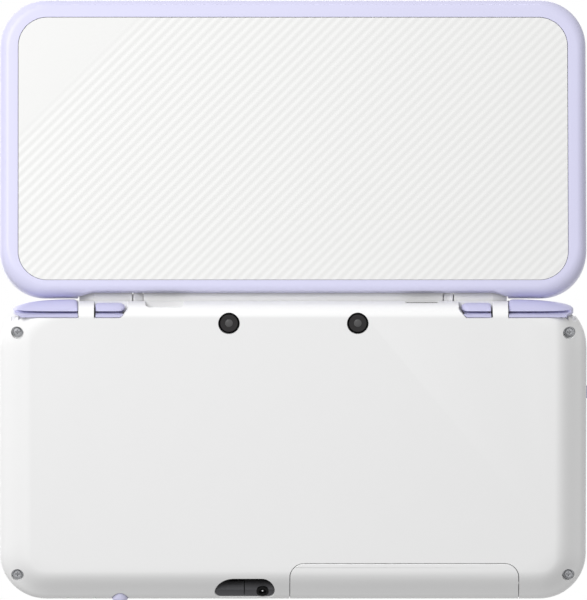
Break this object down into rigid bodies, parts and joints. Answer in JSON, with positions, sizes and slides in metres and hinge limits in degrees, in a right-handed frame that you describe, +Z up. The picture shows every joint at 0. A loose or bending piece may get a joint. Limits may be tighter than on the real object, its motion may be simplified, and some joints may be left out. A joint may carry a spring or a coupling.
{
  "type": "handheld game console",
  "caption": "Clamshell handheld game console, opened flat: hinged lid with a ribbed back plate, base with controls, screens, shoulder buttons, stylus and card slot.",
  "frame": {"origin": "centre of the opened console's footprint, at the surface that its underside rests on", "axes": "+Z up, +X to the player's right, +Y from the player towards the hinge and the lid"},
  "size_m": [0.1604, 0.1604, 0.0434],
  "materials": {
    "white_plastic": "satin moulded, fine texture",
    "lavender_plastic": "satin moulded",
    "grey_plastic": "satin moulded",
    "black_plastic": "fine matt texture",
    "black_rubber": "matt",
    "dark_glass": "polished",
    "lid_glass": "polished acrylic",
    "smoked_window": "polished smoked acrylic",
    "circuit_board": "solder resist",
    "battery_wrap": "wrapped cell",
    "steel": "nickel plated",
    "display": "display module",
    "indicator": "clear light window"
  },
  "bodies": {
    "base": {"base_top_case": "white_plastic", "base_bottom_case": "white_plastic", "control_deck": "white_plastic", "hinge_collar_right": "white_plastic", "hinge_collar_left": "white_plastic", "hinge_centre_cover": "grey_plastic", "pointing_nub": "grey_plastic", "audio_block": "black_plastic", "power_inlet": "black_plastic", "card_slot": "black_plastic", "stylus_sleeve": "black_plastic", "circle_pad_seat": "black_plastic", "speaker_right": "black_plastic", "speaker_left": "black_plastic", "button_mat_right": "black_rubber", "button_mat_left": "black_rubber", "touch_panel": "dark_glass", "camera_module_right": "smoked_window", "camera_module_left": "smoked_window", "infrared_window": "smoked_window", "inner_camera": "smoked_window", "main_board": "circuit_board", "button_board": "circuit_board", "battery_pack": "battery_wrap", "cover_screw_rear_right": "steel", "cover_screw_rear_left": "steel", "cover_screw_front_right": "steel", "cover_screw_front_left": "steel", "hinge_cartridge_right": "steel", "hinge_cartridge_left": "steel", "memory_card_socket": "steel", "lower_display": "display", "indicator_window_1": "indicator", "indicator_window_2": "indicator"},
    "lid": {"lid_frame": "lavender_plastic", "lid_back_plate": "white_plastic", "lid_window": "lid_glass", "upper_display": "display", "lid_bumper_right": "black_rubber", "lid_bumper_left": "black_rubber"},
    "circle_pad_carriage": {"circle_pad_carriage": "black_plastic"},
    "circle_pad": {"circle_pad": "black_rubber"},
    "pivot_pad": {"pivot_pad": "black_rubber"},
    "cross_pad": {"cross_pad": "black_plastic"},
    "shoulder_button_right": {"shoulder_button_right": "lavender_plastic"},
    "shoulder_button_left": {"shoulder_button_left": "lavender_plastic"},
    "trigger_button_right": {"trigger_button_right": "lavender_plastic"},
    "trigger_button_left": {"trigger_button_left": "lavender_plastic"},
    "button_east": {"button_east": "lavender_plastic"},
    "button_south": {"button_south": "lavender_plastic"},
    "button_north": {"button_north": "lavender_plastic"},
    "button_west": {"button_west": "lavender_plastic"},
    "start_button": {"start_button": "white_plastic"},
    "select_button": {"select_button": "white_plastic"},
    "power_button": {"power_button": "white_plastic"},
    "home_button": {"home_button": "white_plastic"},
    "volume_slider": {"volume_slider": "lavender_plastic"},
    "stylus": {"stylus": "lavender_plastic"},
    "card_cover": {"card_cover": "white_plastic"}
  },
  "joints": [
    {"name": "lid_hinge", "type": "hinge", "parent": "base", "child": "lid", "pos_m": [0.0002, 0.00212, 0.0127], "axis": [1, 0, 0], "range_deg": [0, 158]},
    {"name": "circle_pad_across", "type": "slide", "parent": "base", "child": "circle_pad_carriage", "axis": [1, 0, 0], "range_m": [-0.0026, 0.0026], "stiffness_N_per_m": 150},
    {"name": "circle_pad_along", "type": "slide", "parent": "circle_pad_carriage", "child": "circle_pad", "axis": [0, 1, 0], "range_m": [-0.0026, 0.0026], "stiffness_N_per_m": 150},
    {"name": "cross_pad_up_down", "type": "hinge", "parent": "base", "child": "pivot_pad", "pos_m": [-0.0623, -0.0507, 0.008], "axis": [1, 0, 0], "range_deg": [-4, 4], "stiffness_Nm_per_rad": 0.05},
    {"name": "cross_pad_left_right", "type": "hinge", "parent": "pivot_pad", "child": "cross_pad", "pos_m": [-0.0623, -0.0507, 0.008], "axis": [0, 1, 0], "range_deg": [-4, 4], "stiffness_Nm_per_rad": 0.05},
    {"name": "shoulder_right_press", "type": "hinge", "parent": "base", "child": "shoulder_button_right", "pos_m": [0.0672, -0.00078, 0.0005], "axis": [1, 0, 0], "range_deg": [0, 6], "stiffness_Nm_per_rad": 0.1},
    {"name": "trigger_right_press", "type": "hinge", "parent": "base", "child": "trigger_button_right", "pos_m": [0.0502, -0.00078, 0.0005], "axis": [1, 0, 0], "range_deg": [0, 6], "stiffness_Nm_per_rad": 0.06},
    {"name": "shoulder_left_press", "type": "hinge", "parent": "base", "child": "shoulder_button_left", "pos_m": [-0.0668, -0.00078, 0.0005], "axis": [1, 0, 0], "range_deg": [0, 6], "stiffness_Nm_per_rad": 0.1},
    {"name": "trigger_left_press", "type": "hinge", "parent": "base", "child": "trigger_button_left", "pos_m": [-0.0498, -0.00078, 0.0005], "axis": [1, 0, 0], "range_deg": [0, 6], "stiffness_Nm_per_rad": 0.06},
    {"name": "button_east_press", "type": "slide", "parent": "base", "child": "button_east", "axis": [0, 0, -1], "range_m": [0, 0.0009], "stiffness_N_per_m": 800},
    {"name": "button_south_press", "type": "slide", "parent": "base", "child": "button_south", "axis": [0, 0, -1], "range_m": [0, 0.0009], "stiffness_N_per_m": 800},
    {"name": "button_north_press", "type": "slide", "parent": "base", "child": "button_north", "axis": [0, 0, -1], "range_m": [0, 0.0009], "stiffness_N_per_m": 800},
    {"name": "button_west_press", "type": "slide", "parent": "base", "child": "button_west", "axis": [0, 0, -1], "range_m": [0, 0.0009], "stiffness_N_per_m": 800},
    {"name": "start_button_press", "type": "slide", "parent": "base", "child": "start_button", "axis": [0, 0, -1], "range_m": [0, 0.0005], "stiffness_N_per_m": 1200},
    {"name": "select_button_press", "type": "slide", "parent": "base", "child": "select_button", "axis": [0, 0, -1], "range_m": [0, 0.0005], "stiffness_N_per_m": 1200},
    {"name": "power_button_press", "type": "slide", "parent": "base", "child": "power_button", "axis": [0, 0, -1], "range_m": [0, 0.0005], "stiffness_N_per_m": 1200},
    {"name": "home_button_press", "type": "slide", "parent": "base", "child": "home_button", "axis": [0, 0, -1], "range_m": [0, 0.0005], "stiffness_N_per_m": 1200},
    {"name": "volume_slide", "type": "slide", "parent": "base", "child": "volume_slider", "axis": [0, -1, 0], "range_m": [0, 0.009]},
    {"name": "stylus_draw", "type": "slide", "parent": "base", "child": "stylus", "axis": [0, -1, 0], "range_m": [0, 0.072]},
    {"name": "card_cover_hinge", "type": "hinge", "parent": "base", "child": "card_cover", "pos_m": [-0.0302, -0.0694, 0.0002], "axis": [1, 0, 0], "range_deg": [0, 75]}
  ]
}
